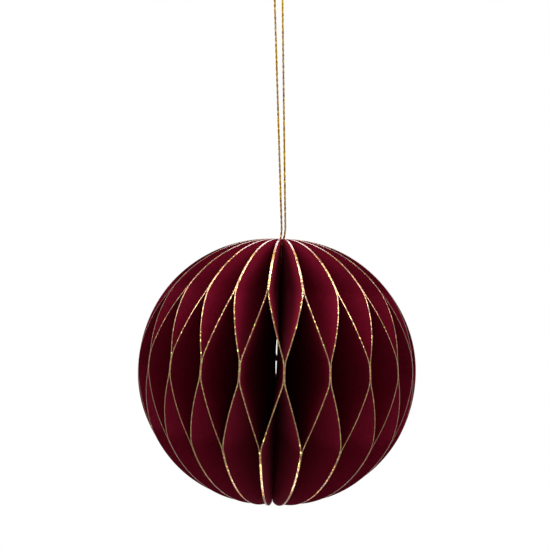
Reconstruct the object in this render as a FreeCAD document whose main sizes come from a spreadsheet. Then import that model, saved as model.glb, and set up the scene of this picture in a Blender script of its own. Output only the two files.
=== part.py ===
import FreeCAD, Part
import math
import os

# Hanging ball of stiff card leaves on a looped cord.
# Half-disc leaves stand round a hollow core. Neighbours are glued face to face, at both poles
# with one neighbour and along a band near the equator with the other, so the fan opens in
# a row of tall cells. The front of the ball is -Y and turns are counted from it towards +X.

Vector = FreeCAD.Vector
Z_AXIS = Vector(0, 0, 1)
ORIGIN = Vector(0, 0, 0)

# Driving sizes, in millimetres and degrees, and counts
SIZES = [
    ("leaf_pairs", 22, "leaves joined two and two at the poles"),
    ("leaf_radius", 38.0, "radius of the half disc that a leaf is cut to"),
    ("rim_cuts", 80, "short straight cuts that make the whole round of the rim"),
    ("paper", 0.25, "thickness of the card"),
    ("core_slack", 0.01, "play of a leaf where the leaves crowd round the core"),
    ("upper_fork", 24.0, "height where the upper pole joints open"),
    ("lower_fork", -16.4, "height where the lower pole joints open"),
    ("band_top", 6.5, "upper edge of the glue band near the equator"),
    ("band_bottom", 1.2, "lower edge of the glue band near the equator"),
    ("first_joint", 3.6, "turn of the band joint nearest the front"),
    ("uneven_swing", 1.3, "how far a joint strays from an even spacing"),
    ("uneven_lobes", 3, "wider stretches in one turn of the fan"),
    ("uneven_turn", 25.0, "turn of the widest stretch"),
    ("lean_angle", 2.6, "lean of the ball on its cord"),
    ("lean_turn", 54.0, "turn of the side that the top leans to"),
    ("cord_diameter", 0.6, "twisted cord"),
    ("knot_depth", 6.0, "knot's centre below the core's mouth"),
    ("knot_clearance", 0.3, "between the knot and the core"),
    ("knot_flat", 50.0, "latitude where the knot's top is flat for the cord"),
]

# Points that the cord takes between its two ends on the knot: up through the core's mouth,
# round the top of the loop and down again
CORD_ROUTE = [
    (0.83, -0.84, 35.3),
    (1.46, -1.00, 39.5),
    (-0.64, -1.00, 108.6),
    (0.50, -1.00, 109.3),
    (1.66, -1.00, 108.6),
    (2.51, -1.00, 39.5),
    (1.49, -0.84, 35.3),
]
LARGEST_SHARE = 0.45

doc = FreeCAD.newDocument("hanging_ball")
sheet = doc.addObject("Spreadsheet::Sheet", "sizes")
for row, (alias, value, meaning) in enumerate(SIZES, start=1):
    sheet.set(f"A{row}", meaning)
    sheet.set(f"B{row}", str(value))
    sheet.setAlias(f"B{row}", alias)
doc.recompute()


def size(alias):
    return float(getattr(sheet, alias))


# The narrowest leaf fills its own wedge where the stack closes round the core
NARROWEST = (
    "90 / sizes.leaf_pairs"
    " - sizes.uneven_swing * sin(sizes.uneven_lobes * 90 / sizes.leaf_pairs)"
)
CORE_RADIUS = f"(sizes.paper + sizes.core_slack) / (2 * sin({NARROWEST}))"


def narrowest_half_angle():
    quarter = 90 / size("leaf_pairs")
    stray = math.sin(math.radians(size("uneven_lobes") * quarter))
    return math.radians(quarter - size("uneven_swing") * stray)


def core_radius():
    return (size("paper") + size("core_slack")) / (2 * math.sin(narrowest_half_angle()))


def joint_turn(index):
    """Turn of a joint from the front: band joints are even, pole joints are odd."""
    even_turn = size("first_joint") + index * 180 / size("leaf_pairs")
    phase = math.radians(size("uneven_lobes") * (even_turn - size("uneven_turn")))
    return even_turn + size("uneven_swing") * math.sin(phase)


def ball_lean():
    """The ball hangs a little out of plumb: its top leans to one side."""
    side = math.radians(size("lean_turn") - 90)
    across = Vector(-math.sin(side), math.cos(side), 0)
    return FreeCAD.Rotation(across, size("lean_angle"))


def make_disc_cutter():
    """The round outline that every leaf is cut to, lying across the leaves' own Y. The leaves
    start at its middle, so each takes half of it."""
    cutter = doc.addObject("Part::Prism", "leaf_cutter")
    cutter.setExpression("Circumradius", "sizes.leaf_radius")
    cutter.setExpression("Height", "sizes.leaf_radius")
    cutter.setExpression("Polygon", "sizes.rim_cuts")
    lying = FreeCAD.Rotation(Vector(1, 0, 0), 90)
    cutter.Placement = FreeCAD.Placement(ORIGIN, lying)
    cutter.setExpression("Placement.Base.x", CORE_RADIUS)
    cutter.setExpression("Placement.Base.y", "sizes.leaf_radius / 2")
    return cutter


def creased_sheet(half_angle, pole_side):
    """A sheet in its own frame, X away from the core, with its two faces in the radial planes
    of its joints: on pole_side (1 or -1) of the middle at the poles, on the other at the band."""
    near, far = core_radius(), core_radius() + size("leaf_radius")
    slope = math.tan(half_angle)
    thickness = size("paper") / math.cos(half_angle)
    levels = [
        (size("leaf_radius"), pole_side),
        (size("upper_fork"), pole_side),
        (size("band_top"), -pole_side),
        (size("band_bottom"), -pole_side),
        (size("lower_fork"), pole_side),
        (-size("leaf_radius"), pole_side),
    ]

    def face_point(reach, height, side):
        across = reach * slope - thickness if side > 0 else -reach * slope
        return Vector(reach, across, height)

    panels = []
    rows = [(face_point(near, z, side), face_point(far, z, side)) for z, side in levels]
    for (upper, lower), (above, below) in zip(zip(rows, rows[1:]), zip(levels, levels[1:])):
        if above[1] == below[1]:
            panels.append([upper[0], upper[1], lower[1], lower[0]])
            continue
        middle = (upper[0] + upper[1] + lower[0] + lower[1]) * 0.25
        ring = [upper[0], upper[1], lower[1], lower[0], upper[0]]
        panels += [[start, end, middle] for start, end in zip(ring, ring[1:])]
    through = Vector(0, thickness, 0)
    border = [row[1] for row in rows] + [row[0] for row in reversed(rows)]
    faces = [polygon(panel) for panel in panels]
    faces += [polygon([point + through for point in reversed(panel)]) for panel in panels]
    for start, end in zip(border, border[1:] + border[:1]):
        faces.append(polygon([start, start + through, end + through, end]))
    return Part.Solid(Part.Shell(faces))


def polygon(points):
    return Part.Face(Part.makePolygon(points + points[:1]))


def make_leaf(index, cutter, lean):
    """A leaf between one band joint and one pole joint, cut to the half disc."""
    start, end = joint_turn(index), joint_turn(index + 1)
    pole_side = 1 if index % 2 == 0 else -1
    folded = doc.addObject("Part::Feature", f"creased_sheet_{index + 1:02d}")
    folded.Shape = creased_sheet(math.radians((end - start) / 2), pole_side)
    leaf = doc.addObject("Part::Common", f"leaf_{index + 1:02d}")
    leaf.Base = folded
    leaf.Tool = cutter
    leaf.Refine = True
    standing = FreeCAD.Rotation(Z_AXIS, (start + end) / 2 - 90)
    leaf.Placement = FreeCAD.Placement(ORIGIN, lean * standing)
    return leaf


def make_knot(lean):
    """The cord's knot, tucked into the core under its mouth, with a flat top for the cord."""
    knot = doc.addObject("Part::Sphere", "cord_knot")
    knot.setExpression("Radius", f"{CORE_RADIUS} - sizes.knot_clearance")
    knot.setExpression("Angle2", "sizes.knot_flat")
    below_mouth = Vector(0, 0, size("leaf_radius") - size("knot_depth"))
    knot.Placement = FreeCAD.Placement(lean.multVec(below_mouth), FreeCAD.Rotation())
    return knot


def cord_points(knot):
    """The route from the knot's flat top round the loop and back to it."""
    rise = (core_radius() - size("knot_clearance")) * math.sin(math.radians(size("knot_flat")))
    top = knot.Placement.Base + Vector(0, 0, rise)
    route = [Vector(*point) for point in CORD_ROUTE]
    ends = [Vector(point.x, point.y, top.z) for point in (route[0], route[-1])]
    return [ends[0]] + route + [ends[1]]


def rounded_path(points):
    """Straight runs joined by tangent arcs, each as large as its two runs allow."""
    edges = []
    start = points[0]
    for before, corner, after in zip(points, points[1:], points[2:]):
        back = (before - corner).normalize()
        ahead = (after - corner).normalize()
        half_turn = (math.pi - back.getAngle(ahead)) / 2
        shorter = min(before.distanceToPoint(corner), after.distanceToPoint(corner))
        reach = LARGEST_SHARE * shorter
        radius = reach / math.tan(half_turn)
        leave, meet = corner + back * reach, corner + ahead * reach
        inwards = (back + ahead).normalize()
        middle = corner + inwards * (radius / math.cos(half_turn) - radius)
        print(f"cord arc radius {radius:.2f} mm, turn {math.degrees(2 * half_turn):.1f} degrees")
        edges += [Part.LineSegment(start, leave).toShape(), Part.Arc(leave, middle, meet).toShape()]
        start = meet
    edges.append(Part.LineSegment(start, points[-1]).toShape())
    return Part.Wire(edges)


def make_cord(points):
    """The cord as a plain tube along its route."""
    path = doc.addObject("Part::Feature", "cord_path")
    path.Shape = rounded_path(points)
    section = doc.addObject("Part::Circle", "cord_section")
    section.setExpression("Radius", "sizes.cord_diameter / 2")
    section.Placement = FreeCAD.Placement(points[0], FreeCAD.Rotation())
    cord = doc.addObject("Part::Sweep", "hanging_cord")
    cord.Sections = [section]
    cord.Spine = (path, [f"Edge{number + 1}" for number in range(len(path.Shape.Edges))])
    cord.Solid = True
    return cord


def check_document():
    for item in doc.Objects:
        if "Invalid" in item.State or "Error" in item.State:
            raise RuntimeError(f"{item.Label} failed: {item.State}")


def write_nodes(nodes):
    os.makedirs("parts", exist_ok=True)
    for node in nodes:
        if node.Shape.isNull() or not node.Shape.isValid() or node.Shape.Volume <= 0:
            raise RuntimeError(f"{node.Label} has no sound shape")
    for node in nodes:
        node.Shape.exportStep(f"parts/{node.Label}.step")


lean = ball_lean()
cutter = make_disc_cutter()
leaf_count = 2 * round(size("leaf_pairs"))
leaves = [make_leaf(index, cutter, lean) for index in range(leaf_count)]
knot = make_knot(lean)
cord = make_cord(cord_points(knot))
doc.recompute()
check_document()

section_area = math.pi * size("cord_diameter") ** 2 / 4
expected = section_area * doc.getObject("cord_path").Shape.Length
print(f"cord volume {cord.Shape.Volume:.3f} mm3, section times length {expected:.3f} mm3")
print(f"cord length {doc.getObject('cord_path').Shape.Length:.1f} mm, core radius {core_radius():.3f} mm")
write_nodes(leaves + [knot, cord])
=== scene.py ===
import math
import random

import bmesh
import bpy
from mathutils import Matrix, Vector


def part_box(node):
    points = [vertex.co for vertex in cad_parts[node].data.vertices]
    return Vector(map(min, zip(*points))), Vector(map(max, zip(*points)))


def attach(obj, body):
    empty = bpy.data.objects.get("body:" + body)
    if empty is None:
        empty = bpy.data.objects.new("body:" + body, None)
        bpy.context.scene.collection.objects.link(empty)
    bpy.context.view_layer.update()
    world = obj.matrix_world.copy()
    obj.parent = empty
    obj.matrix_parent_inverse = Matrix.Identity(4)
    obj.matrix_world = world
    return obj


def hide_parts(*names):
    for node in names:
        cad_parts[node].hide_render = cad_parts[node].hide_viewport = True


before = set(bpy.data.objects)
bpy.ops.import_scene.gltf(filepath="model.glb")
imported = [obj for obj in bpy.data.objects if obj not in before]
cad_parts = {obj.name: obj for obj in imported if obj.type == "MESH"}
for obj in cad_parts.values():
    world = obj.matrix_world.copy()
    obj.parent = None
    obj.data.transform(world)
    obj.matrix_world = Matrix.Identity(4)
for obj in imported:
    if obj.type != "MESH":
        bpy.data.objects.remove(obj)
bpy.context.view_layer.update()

# Hanging ball of burgundy card leaves with gilded cut edges, on a looped gold cord.
# Lengths are in metres. A turn is counted from the front of the ball, -Y, towards +X.

MM = 0.001

# The fan of leaves, as the solids have it
LEAF_PAIRS = 22
LEAF_RADIUS = 38.0 * MM
CARD = 0.25 * MM
UPPER_FORK = 24.0 * MM
LOWER_FORK = -16.4 * MM
BAND_TOP = 6.5 * MM
BAND_BOTTOM = 1.2 * MM
CORE_SLACK = 0.01 * MM
FIRST_JOINT = 3.6
UNEVEN_SWING = 1.3
UNEVEN_LOBES = 3
UNEVEN_TURN = 25.0
LEAN_ANGLE = 2.6
LEAN_TURN = 54.0

# What handwork adds to the leaves
GLUE_FILM = 0.01 * MM
FORK_STRAY = 0.15 * MM
BEND_SHARE = 0.08
GILD_OVERHANG = 0.02 * MM
GILD_RISE = 0.015 * MM
GILD_FOOT = 0.04 * MM

# The gilding's section: how proud of the rim a point is, and its place across the card, from 0
# at the near face to 1 at the far face. Beyond those it is a share of the overhang
GILD_SECTION = [
    (-GILD_FOOT / 2, -1.0),
    (0.0, -0.9),
    (GILD_RISE, 0.25),
    (GILD_RISE, 0.75),
    (0.0, 1.9),
    (-GILD_FOOT / 2, 2.0),
]

# Uneven inner edges of the leaves: between two heights, how much shorter a leaf is cut at the
# core. Light from behind comes through the front and back cuts. A negative amount reaches
# further in, so leaf 21 closes the slits that would let light through above and below them
FRONT_CUTS = [(-1.9 * MM, 8.9 * MM, 1.1 * MM)]
BACK_CUTS = [(-2.3 * MM, 2.1 * MM, 5.5 * MM), (3.9 * MM, 8.2 * MM, 5.5 * MM)]
LONG_EDGES = [(9.5 * MM, 20.5 * MM, -0.65 * MM), (-38.0 * MM, -36.5 * MM, -1.9 * MM)]
INNER_CUTS = {43: FRONT_CUTS, 44: FRONT_CUTS, 22: BACK_CUTS, 23: BACK_CUTS, 21: LONG_EDGES}

# How finely a leaf is drawn
RIM_ROWS = 200
REACH_STEPS = 6
POLE_CUT = 2.0

# The cord's route: from the knot up through the core's mouth, round the loop and back. The
# points beside the mouth and beside the turn keep the long stretches straight between them.
CORD_DIAMETER = 0.6 * MM
CORD_ROUTE = [
    (0.00045, -0.00084, 0.033234),
    (0.00045, -0.00084, 0.0353),
    (0.00146, -0.00100, 0.0395),
    (0.00133, -0.00100, 0.0437),
    (-0.00053, -0.00100, 0.1050),
    (-0.00064, -0.00100, 0.1086),
    (0.00050, -0.00100, 0.1093),
    (0.00166, -0.00100, 0.1086),
    (0.00170, -0.00100, 0.1050),
    (0.00246, -0.00100, 0.0437),
    (0.00251, -0.00100, 0.0395),
    (0.00115, -0.00084, 0.0353),
    (0.00115, -0.00084, 0.033234),
]
ROUTE_STEPS = 160
PLY_STEP = 0.22 * MM
PLY_LAY = 3.3 * MM
PLY_SIDES = 8
# A ply's radius as a share of the cord's diameter: the two plies press into each other
PLY_SHARE = 0.36
# Points along the knot, and the size of its loops as a share of the CAD knot's radius
KNOT_STEPS = 120
KNOT_SHARE = 0.26


def linear(hex_code):
    """An sRGB hex colour as linear red, green, blue and alpha."""
    channels = [int(hex_code[i:i + 2], 16) / 255 for i in (1, 3, 5)]
    curve = [c / 12.92 if c <= 0.04045 else ((c + 0.055) / 1.055) ** 2.4 for c in channels]
    return (*curve, 1.0)


def add_node(tree, kind, settings=None, inputs=None):
    """Adds a node with its settings, and sets each input to a value or links it to a socket."""
    node = tree.nodes.new(kind)
    for name, value in (settings or {}).items():
        setattr(node, name, value)
    for name, value in (inputs or {}).items():
        if isinstance(value, bpy.types.NodeSocket):
            tree.links.new(value, node.inputs[name])
        else:
            node.inputs[name].default_value = value
    return node


def new_material(name):
    material = bpy.data.materials.new(name)
    material.use_nodes = True
    material.node_tree.nodes.clear()
    return material


def finish_surface(material, shader):
    add_node(material.node_tree, "ShaderNodeOutputMaterial", inputs={"Surface": shader})
    return material


def set_stops(ramp_node, stops):
    """Colours of a ramp: pairs of a place from 0 to 1 and a hex code."""
    ramp = ramp_node.color_ramp
    while len(ramp.elements) < len(stops):
        ramp.elements.new(1.0)
    for element, (place, hex_code) in zip(ramp.elements, stops):
        element.position = place
        element.color = linear(hex_code)


def add_camera():
    """Level and a little above the ball's middle, at the distance that the far leaves show."""
    data = bpy.data.cameras.new("camera")
    data.sensor_width = 36.0
    data.lens = 65.4
    data.clip_start = 0.01
    camera = bpy.data.objects.new("camera", data)
    camera.location = (-0.51 * MM, -290 * MM, 27.5 * MM)
    camera.rotation_euler = (math.radians(90), 0, 0)
    bpy.context.scene.collection.objects.link(camera)
    bpy.context.scene.camera = camera


def route_line(points):
    """Points read from the smooth line that has the route's points as its control points."""
    curve = bpy.data.curves.new("route", "CURVE")
    curve.dimensions = "3D"
    curve.resolution_u = ROUTE_STEPS
    spline = curve.splines.new("NURBS")
    spline.points.add(len(points) - 1)
    for control, point in zip(spline.points, points):
        control.co = (*point, 1.0)
    spline.order_u = 3
    spline.use_endpoint_u = True
    holder = bpy.data.objects.new("route", curve)
    mesh = bpy.data.meshes.new_from_object(holder)
    line = [vertex.co.copy() for vertex in mesh.vertices]
    bpy.data.meshes.remove(mesh)
    bpy.data.curves.remove(curve)
    return line


def walked(line, step):
    """The same line with its points one step apart."""
    points, left = [line[0]], step
    for start, end in zip(line, line[1:]):
        run = (end - start).length
        while run and left <= run:
            points.append(start.lerp(end, left / run))
            left += step
        left -= run
    if (points[-1] - line[-1]).length > step / 2:
        points.append(line[-1])
    return points


def line_frames(line):
    """A tangent and two directions across it at each point, turning no more than the line does."""
    frames, across = [], None
    for before, after in zip(line[:1] + line[:-1], line[1:] + line[-1:]):
        tangent = (after - before).normalized()
        across = across or tangent.orthogonal()
        across = (across - tangent * across.dot(tangent)).normalized()
        frames.append((tangent, across, tangent.cross(across)))
    return frames


def skin(rings):
    """The faces of a closed skin over rings that have the same number of points."""
    around, last = len(rings[0]), (len(rings) - 1) * len(rings[0])
    faces = []
    for row in range(0, last, around):
        for place in range(around):
            beside = (place + 1) % around
            faces.append((row + place, row + beside, row + around + beside, row + around + place))
    return faces + [tuple(range(around)), tuple(range(last + around - 1, last - 1, -1))]


def new_piece(name, parts, materials, sharp_angle):
    """A piece from its parts: each has rings of points and a function that gives the number
    of the material at a place round the ring."""
    mesh = bpy.data.meshes.new(name)
    builder = bmesh.new()
    for rings, material_at in parts:
        vertices = [builder.verts.new(point) for ring in rings for point in ring]
        for face in skin(rings):
            made = builder.faces.new([vertices[number] for number in face])
            made.smooth = True
            made.material_index = material_at(face[0] % len(rings[0])) if len(face) == 4 else 0
    bmesh.ops.recalc_face_normals(builder, faces=builder.faces)
    builder.to_mesh(mesh)
    builder.free()
    mesh.set_sharp_from_angle(angle=math.radians(sharp_angle))
    for material in materials:
        mesh.materials.append(material)
    piece = bpy.data.objects.new(name, mesh)
    bpy.context.scene.collection.objects.link(piece)
    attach(piece, "root")
    return piece


def ply_rings(line, start_turn):
    """Rings of one ply that winds round the line with another, each pressed into the other."""
    ply_radius = CORD_DIAMETER * PLY_SHARE
    rings, travelled = [], 0.0
    for number, (point, (tangent, across, beside)) in enumerate(zip(line, line_frames(line))):
        travelled += (point - line[number - 1]).length if number else 0.0
        turn = start_turn + 2 * math.pi * travelled / PLY_LAY
        outwards = across * math.cos(turn) + beside * math.sin(turn)
        sideways = tangent.cross(outwards)
        centre = point + outwards * (CORD_DIAMETER / 2 - ply_radius)
        rings.append([
            centre + (outwards * math.cos(corner) + sideways * math.sin(corner)) * ply_radius
            for corner in (2 * math.pi * side / PLY_SIDES for side in range(PLY_SIDES))
        ])
    return rings


def plies(line):
    return [(ply_rings(line, start), lambda place: 0) for start in (0.0, math.pi)]


def knot_line():
    """An overhand knot in the core, its loops standing up to meet the cord's ends."""
    low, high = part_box("cord_knot")
    middle = Vector(((low.x + high.x) / 2, (low.y + high.y) / 2, low.z + (high.x - low.x) / 2))
    loop = (high.x - low.x) / 2 * KNOT_SHARE
    line = []
    for number in range(KNOT_STEPS):
        turn = 2 * math.pi * number / KNOT_STEPS
        wide = loop * (2 + math.cos(3 * turn))
        across, up = wide * math.cos(2 * turn), wide * math.sin(2 * turn)
        line.append(middle + Vector((across, loop * math.sin(3 * turn), up)))
    return line


def joint_turn(index):
    """Turn of a joint: band joints are even, pole joints are odd."""
    even_turn = FIRST_JOINT + index * 180 / LEAF_PAIRS
    phase = math.radians(UNEVEN_LOBES * (even_turn - UNEVEN_TURN))
    return even_turn + UNEVEN_SWING * math.sin(phase)


def core_radius():
    quarter = 90 / LEAF_PAIRS
    stray = math.sin(math.radians(UNEVEN_LOBES * quarter))
    narrowest = math.radians(quarter - UNEVEN_SWING * stray)
    return (CARD + CORE_SLACK) / (2 * math.sin(narrowest))


def ball_lean():
    side = math.radians(LEAN_TURN - 90)
    across = Vector((-math.sin(side), math.cos(side), 0))
    return Matrix.Rotation(math.radians(LEAN_ANGLE), 4, across)


def joint_levels(index):
    """Upper and lower height where the glue of a joint ends, a little uneven by hand."""
    hand = random.Random(index % (2 * LEAF_PAIRS))
    stray = [hand.uniform(-FORK_STRAY, FORK_STRAY) for _ in range(2)]
    if index % 2:
        return UPPER_FORK + stray[0], LOWER_FORK + stray[1]
    return BAND_TOP + stray[0], BAND_BOTTOM + stray[1]


def bent(share):
    """0 below nothing and the share itself above, with a soft bend between them."""
    if share <= -BEND_SHARE:
        return 0.0
    if share >= BEND_SHARE:
        return share
    return (share + BEND_SHARE) ** 2 / (4 * BEND_SHARE)


def crossing(height, pole_levels, band_levels):
    """How far a leaf has crossed from its pole joint, 0, to its band joint, 1."""
    if height > sum(band_levels) / 2:
        share = (pole_levels[0] - height) / (pole_levels[0] - band_levels[0])
    else:
        share = (height - pole_levels[1]) / (band_levels[1] - pole_levels[1])
    return bent(share) - bent(share - 1)


def inner_cut(number, height):
    """How much shorter a leaf is at the core at a height."""
    cuts = INNER_CUTS.get(number, [])
    return sum(amount for low, high, amount in cuts if low < height < high)


def leaf_rings(index):
    """Rings round a leaf in its own frame, X away from the core, from its top to its bottom:
    along the near face to the rim, over the gilded bead and back along the far face."""
    half_angle = math.radians((joint_turn(index + 1) - joint_turn(index)) / 2)
    slope = math.tan(half_angle)
    thickness = CARD / math.cos(half_angle)
    pole_side = 1 if index % 2 == 0 else -1
    pole_joint, band_joint = (index + 1, index) if pole_side > 0 else (index, index + 1)
    pole_levels, band_levels = joint_levels(pole_joint), joint_levels(band_joint)
    inner = core_radius()

    def faces_at(reach, height):
        side = pole_side * (1 - 2 * crossing(height, pole_levels, band_levels))
        near = side * reach * slope - (1 + side) / 2 * thickness
        return near + GLUE_FILM, near + thickness - GLUE_FILM

    def at_rim(height, width, proud, side_shift):
        """A point by the rim: proud of it, and shifted to a side of the card."""
        outwards = 1 + proud / LEAF_RADIUS
        reach, up = inner + width * outwards, height * outwards
        near, far = faces_at(reach, up)
        room_near = max(0.0, near + reach * slope - GLUE_FILM)
        room_far = max(0.0, reach * slope - far - GLUE_FILM)
        if side_shift <= 0:
            return (reach, near + side_shift * min(GILD_OVERHANG, room_near), up)
        if side_shift >= 1:
            return (reach, far + (side_shift - 1) * min(GILD_OVERHANG, room_far), up)
        return (reach, near + side_shift * (far - near), up)

    rings = []
    for row in range(RIM_ROWS + 1):
        angle = math.radians(POLE_CUT + (180 - 2 * POLE_CUT) * row / RIM_ROWS)
        height, width = LEAF_RADIUS * math.cos(angle), LEAF_RADIUS * math.sin(angle)
        foot = 1 - GILD_FOOT / LEAF_RADIUS
        near_side, far_side = [], []
        missing = inner_cut(index + 1, height)
        for step in range(REACH_STEPS + 1):
            share = step / REACH_STEPS
            reach, up = inner + missing + (width * foot - missing) * share, height * foot
            near, far = faces_at(reach, up)
            near_side.append((reach, near, up))
            far_side.insert(0, (reach, far, up))
        gilding = [at_rim(height, width, *place) for place in GILD_SECTION]
        rings.append(near_side + gilding + far_side)
    return rings


def add_leaf(index, materials):
    placing = (joint_turn(index) + joint_turn(index + 1)) / 2 - 90
    place = ball_lean() @ Matrix.Rotation(math.radians(placing), 4, "Z")
    rings = [[place @ Vector(point) for point in ring] for ring in leaf_rings(index)]
    gilded = range(REACH_STEPS, REACH_STEPS + len(GILD_SECTION) + 1)
    part = (rings, lambda spot: 1 if spot in gilded else 0)
    leaf = new_piece(f"card_leaf_{index + 1:02d}", [part], materials, 35)
    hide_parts(f"leaf_{index + 1:02d}")


def dyed_card():
    """Uncoated card, dyed through and rolled smooth: matt, with soft mottling where the dye
    took unevenly, and a faint felt of fibres that catches light at a slant."""
    material = new_material("dyed_card")
    tree = material.node_tree
    place = add_node(tree, "ShaderNodeTexCoord").outputs["Object"]
    # Mottling is about 1.2 mm across. Fibres are 0.03 mm wide and are drawn at 0.3 mm
    mottling = add_node(
        tree, "ShaderNodeTexNoise", inputs={"Vector": place, "Scale": 1 / (1.2 * MM), "Detail": 4.0}
    )
    fibres = add_node(
        tree, "ShaderNodeTexNoise", inputs={"Vector": place, "Scale": 1 / (0.3 * MM), "Detail": 3.0}
    )
    both = add_node(
        tree,
        "ShaderNodeMix",
        inputs={"Factor": 0.5, "A": mottling.outputs["Fac"], "B": fibres.outputs["Fac"]},
    )
    tint = add_node(tree, "ShaderNodeValToRGB", inputs={"Fac": both.outputs["Result"]})
    set_stops(tint, [(0.3, "#6b0a22"), (0.7, "#84102e")])
    relief = add_node(
        tree,
        "ShaderNodeBump",
        inputs={"Strength": 0.3, "Distance": 0.03 * MM, "Height": fibres.outputs["Fac"]},
    )
    shader = add_node(
        tree,
        "ShaderNodeBsdfPrincipled",
        inputs={
            "Base Color": tint.outputs["Color"],
            "Roughness": 0.65,
            "Specular IOR Level": 0.03,
            "Sheen Weight": 0.02,
            "Sheen Roughness": 0.5,
            "Sheen Tint": linear("#e08a9c"),
            "Normal": relief.outputs["Normal"],
        },
    )
    return finish_surface(material, shader.outputs["BSDF"])


def tilted_flakes(tree, place, flake, tilt):
    """A random colour for each flake, and a normal that lies as the flake does."""
    cells = add_node(
        tree, "ShaderNodeTexVoronoi", inputs={"Vector": place, "Scale": 1 / flake}
    )
    centred = add_node(
        tree,
        "ShaderNodeVectorMath",
        {"operation": "SUBTRACT"},
        {0: cells.outputs["Color"], 1: (0.5, 0.5, 0.5)},
    )
    upright = add_node(tree, "ShaderNodeNewGeometry").outputs["Normal"]
    leaning = add_node(
        tree,
        "ShaderNodeVectorMath",
        {"operation": "MULTIPLY_ADD"},
        {0: centred.outputs["Vector"], 1: (tilt, tilt, tilt), 2: upright},
    )
    unit = add_node(
        tree, "ShaderNodeVectorMath", {"operation": "NORMALIZE"}, {0: leaning.outputs["Vector"]}
    )
    return cells.outputs["Color"], unit.outputs["Vector"]


def gilded_edge():
    """Gold glitter varnish wiped along the cut edge: a thin bead of metal flakes, tan in the
    shade, with single flakes that flash where they face a lamp."""
    material = new_material("gilded_edge")
    tree = material.node_tree
    place = add_node(tree, "ShaderNodeTexCoord").outputs["Object"]
    # Flakes are 0.1 mm across and are drawn at 0.45 mm, so that one shows
    colours, lie = tilted_flakes(tree, place, 0.45 * MM, 0.5)
    pick = add_node(tree, "ShaderNodeSeparateColor", inputs={"Color": colours})
    tint = add_node(tree, "ShaderNodeValToRGB", inputs={"Fac": pick.outputs["Green"]})
    set_stops(tint, [(0.0, "#8a5c40"), (0.55, "#9c7550"), (0.8, "#b39a5e"), (1.0, "#a6b464")])
    shader = add_node(
        tree,
        "ShaderNodeBsdfPrincipled",
        inputs={
            "Base Color": tint.outputs["Color"],
            "Metallic": 1.0,
            "Roughness": 0.2,
            "Normal": lie,
            "Specular Tint": linear("#a06a4a"),
            "Coat Weight": 0.9,
            "Coat Roughness": 0.17,
        },
    )
    return finish_surface(material, shader.outputs["BSDF"])


def metallic_yarn():
    """Gold foil strip wound on a red-brown core thread, two plies twisted: bright yellow metal
    with dark red specks where the winding opens."""
    material = new_material("metallic_yarn")
    tree = material.node_tree
    place = add_node(tree, "ShaderNodeTexCoord").outputs["Object"]
    # The foil strip is 0.2 mm wide and is drawn at 0.3 mm
    colours, lie = tilted_flakes(tree, place, 0.3 * MM, 0.7)
    pick = add_node(tree, "ShaderNodeSeparateColor", inputs={"Color": colours})
    tint = add_node(tree, "ShaderNodeValToRGB", inputs={"Fac": pick.outputs["Red"]})
    specks = [(0.0, "#360400"), (0.16, "#8a1802")]
    set_stops(tint, specks + [(0.22, "#8a6a00"), (0.6, "#a68400"), (1.0, "#b89000")])
    shader = add_node(
        tree,
        "ShaderNodeBsdfPrincipled",
        inputs={
            "Base Color": tint.outputs["Color"],
            "Metallic": 0.95,
            "Roughness": 0.4,
            "Specular IOR Level": 0.1,
            "Specular Tint": linear("#8a6200"),
            "Normal": lie,
        },
    )
    return finish_surface(material, shader.outputs["BSDF"])


def add_cord(yarn):
    """The doubled cord: a loop held up by a thin hook just above the view."""
    line = walked(route_line([Vector(point) for point in CORD_ROUTE]), PLY_STEP)
    cord = new_piece("hanging_cord_plies", plies(line), [yarn], 60)
    knot = new_piece("cord_knot_plies", plies(knot_line()), [yarn], 60)
    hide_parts("hanging_cord")
    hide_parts("cord_knot")


def pale_floor():
    """A matt white table top: it takes the ball's shadow and fades out into the backdrop."""
    material = new_material("pale_floor")
    tree = material.node_tree
    place = add_node(tree, "ShaderNodeTexCoord").outputs["Object"]
    away = add_node(tree, "ShaderNodeVectorMath", {"operation": "LENGTH"}, {0: place})
    fade = add_node(
        tree,
        "ShaderNodeMapRange",
        inputs={"Value": away.outputs["Value"], "From Min": 0.5, "From Max": 1.2},
    )
    seen = add_node(tree, "ShaderNodeLightPath").outputs["Is Camera Ray"]
    board = add_node(tree, "ShaderNodeBsdfDiffuse", inputs={"Color": linear("#d8d8d8")})
    glow = add_node(tree, "ShaderNodeEmission", inputs={"Strength": 0.95})
    lift = add_node(tree, "ShaderNodeMath", {"operation": "MULTIPLY"}, {0: seen, 1: 0.6})
    lit = add_node(
        tree,
        "ShaderNodeMixShader",
        inputs={0: lift.outputs[0], 1: board.outputs[0], 2: glow.outputs[0]},
    )
    clear = add_node(tree, "ShaderNodeBsdfTransparent")
    mixed = add_node(
        tree,
        "ShaderNodeMixShader",
        inputs={0: fade.outputs["Result"], 1: lit.outputs[0], 2: clear.outputs[0]},
    )
    return finish_surface(material, mixed.outputs[0])


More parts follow.
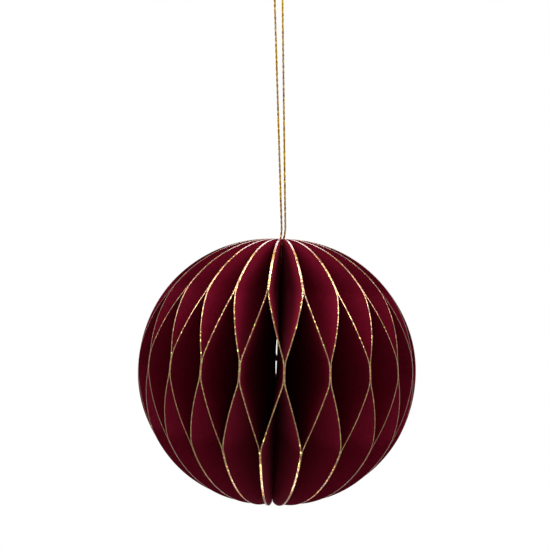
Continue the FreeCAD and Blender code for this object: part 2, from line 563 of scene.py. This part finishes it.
def add_floor():
    """A round table top well under the hanging ball."""
    builder = bmesh.new()
    bmesh.ops.create_circle(builder, cap_ends=True, segments=64, radius=1.2)
    mesh = bpy.data.meshes.new("floor")
    builder.to_mesh(mesh)
    builder.free()
    mesh.materials.append(pale_floor())
    floor = bpy.data.objects.new("floor", mesh)
    floor.location.z = -0.45
    bpy.context.scene.collection.objects.link(floor)


def light_world():
    """A white room: even light on the ball, and plain white behind it and in its metal."""
    world = bpy.data.worlds.new("room")
    world.use_nodes = True
    tree = world.node_tree
    tree.nodes.clear()
    path = add_node(tree, "ShaderNodeLightPath")
    seen = add_node(
        tree,
        "ShaderNodeMath",
        {"operation": "MAXIMUM"},
        {0: path.outputs["Is Camera Ray"], 1: path.outputs["Is Glossy Ray"]},
    )
    shown = add_node(
        tree,
        "ShaderNodeMath",
        {"operation": "MAXIMUM"},
        {0: seen.outputs[0], 1: path.outputs["Is Transmission Ray"]},
    )
    strength = add_node(
        tree,
        "ShaderNodeMapRange",
        inputs={"Value": shown.outputs[0], "To Min": 0.22, "To Max": 1.0},
    )
    room = add_node(
        tree,
        "ShaderNodeBackground",
        inputs={"Color": linear("#ffffff"), "Strength": strength.outputs["Result"]},
    )
    add_node(tree, "ShaderNodeOutputWorld", inputs={"Surface": room.outputs[0]})
    bpy.context.scene.world = world


def add_lamp(name, place, size, power):
    """A square lamp that faces the ball: a soft box, or a small spot that lights the gilding."""
    data = bpy.data.lights.new(name, "AREA")
    data.size = size
    data.energy = power
    lamp = bpy.data.objects.new(name, data)
    lamp.location = place
    lamp.rotation_euler = (-Vector(place)).to_track_quat("-Z", "Y").to_euler()
    lamp.visible_camera = False
    bpy.context.scene.collection.objects.link(lamp)


add_camera()
add_cord(metallic_yarn())
leaf_materials = [dyed_card(), gilded_edge()]
for leaf_index in range(2 * LEAF_PAIRS):
    add_leaf(leaf_index, leaf_materials)

add_floor()
light_world()
add_lamp("soft_box_left", (-0.48, 0.02, 0.55), 0.5, 4.8)
add_lamp("soft_box_right", (0.48, 0.02, 0.55), 0.5, 5.4)
add_lamp("spot_above", (0.0, 0.08, 0.7), 0.25, 4.0)
add_lamp("spot_behind", (0.0, 0.5, 0.4), 0.3, 1.2)
add_lamp("spot_below", (0.0, 0.03, -0.38), 0.2, 0.8)
bpy.context.scene.view_settings.view_transform = "Standard"
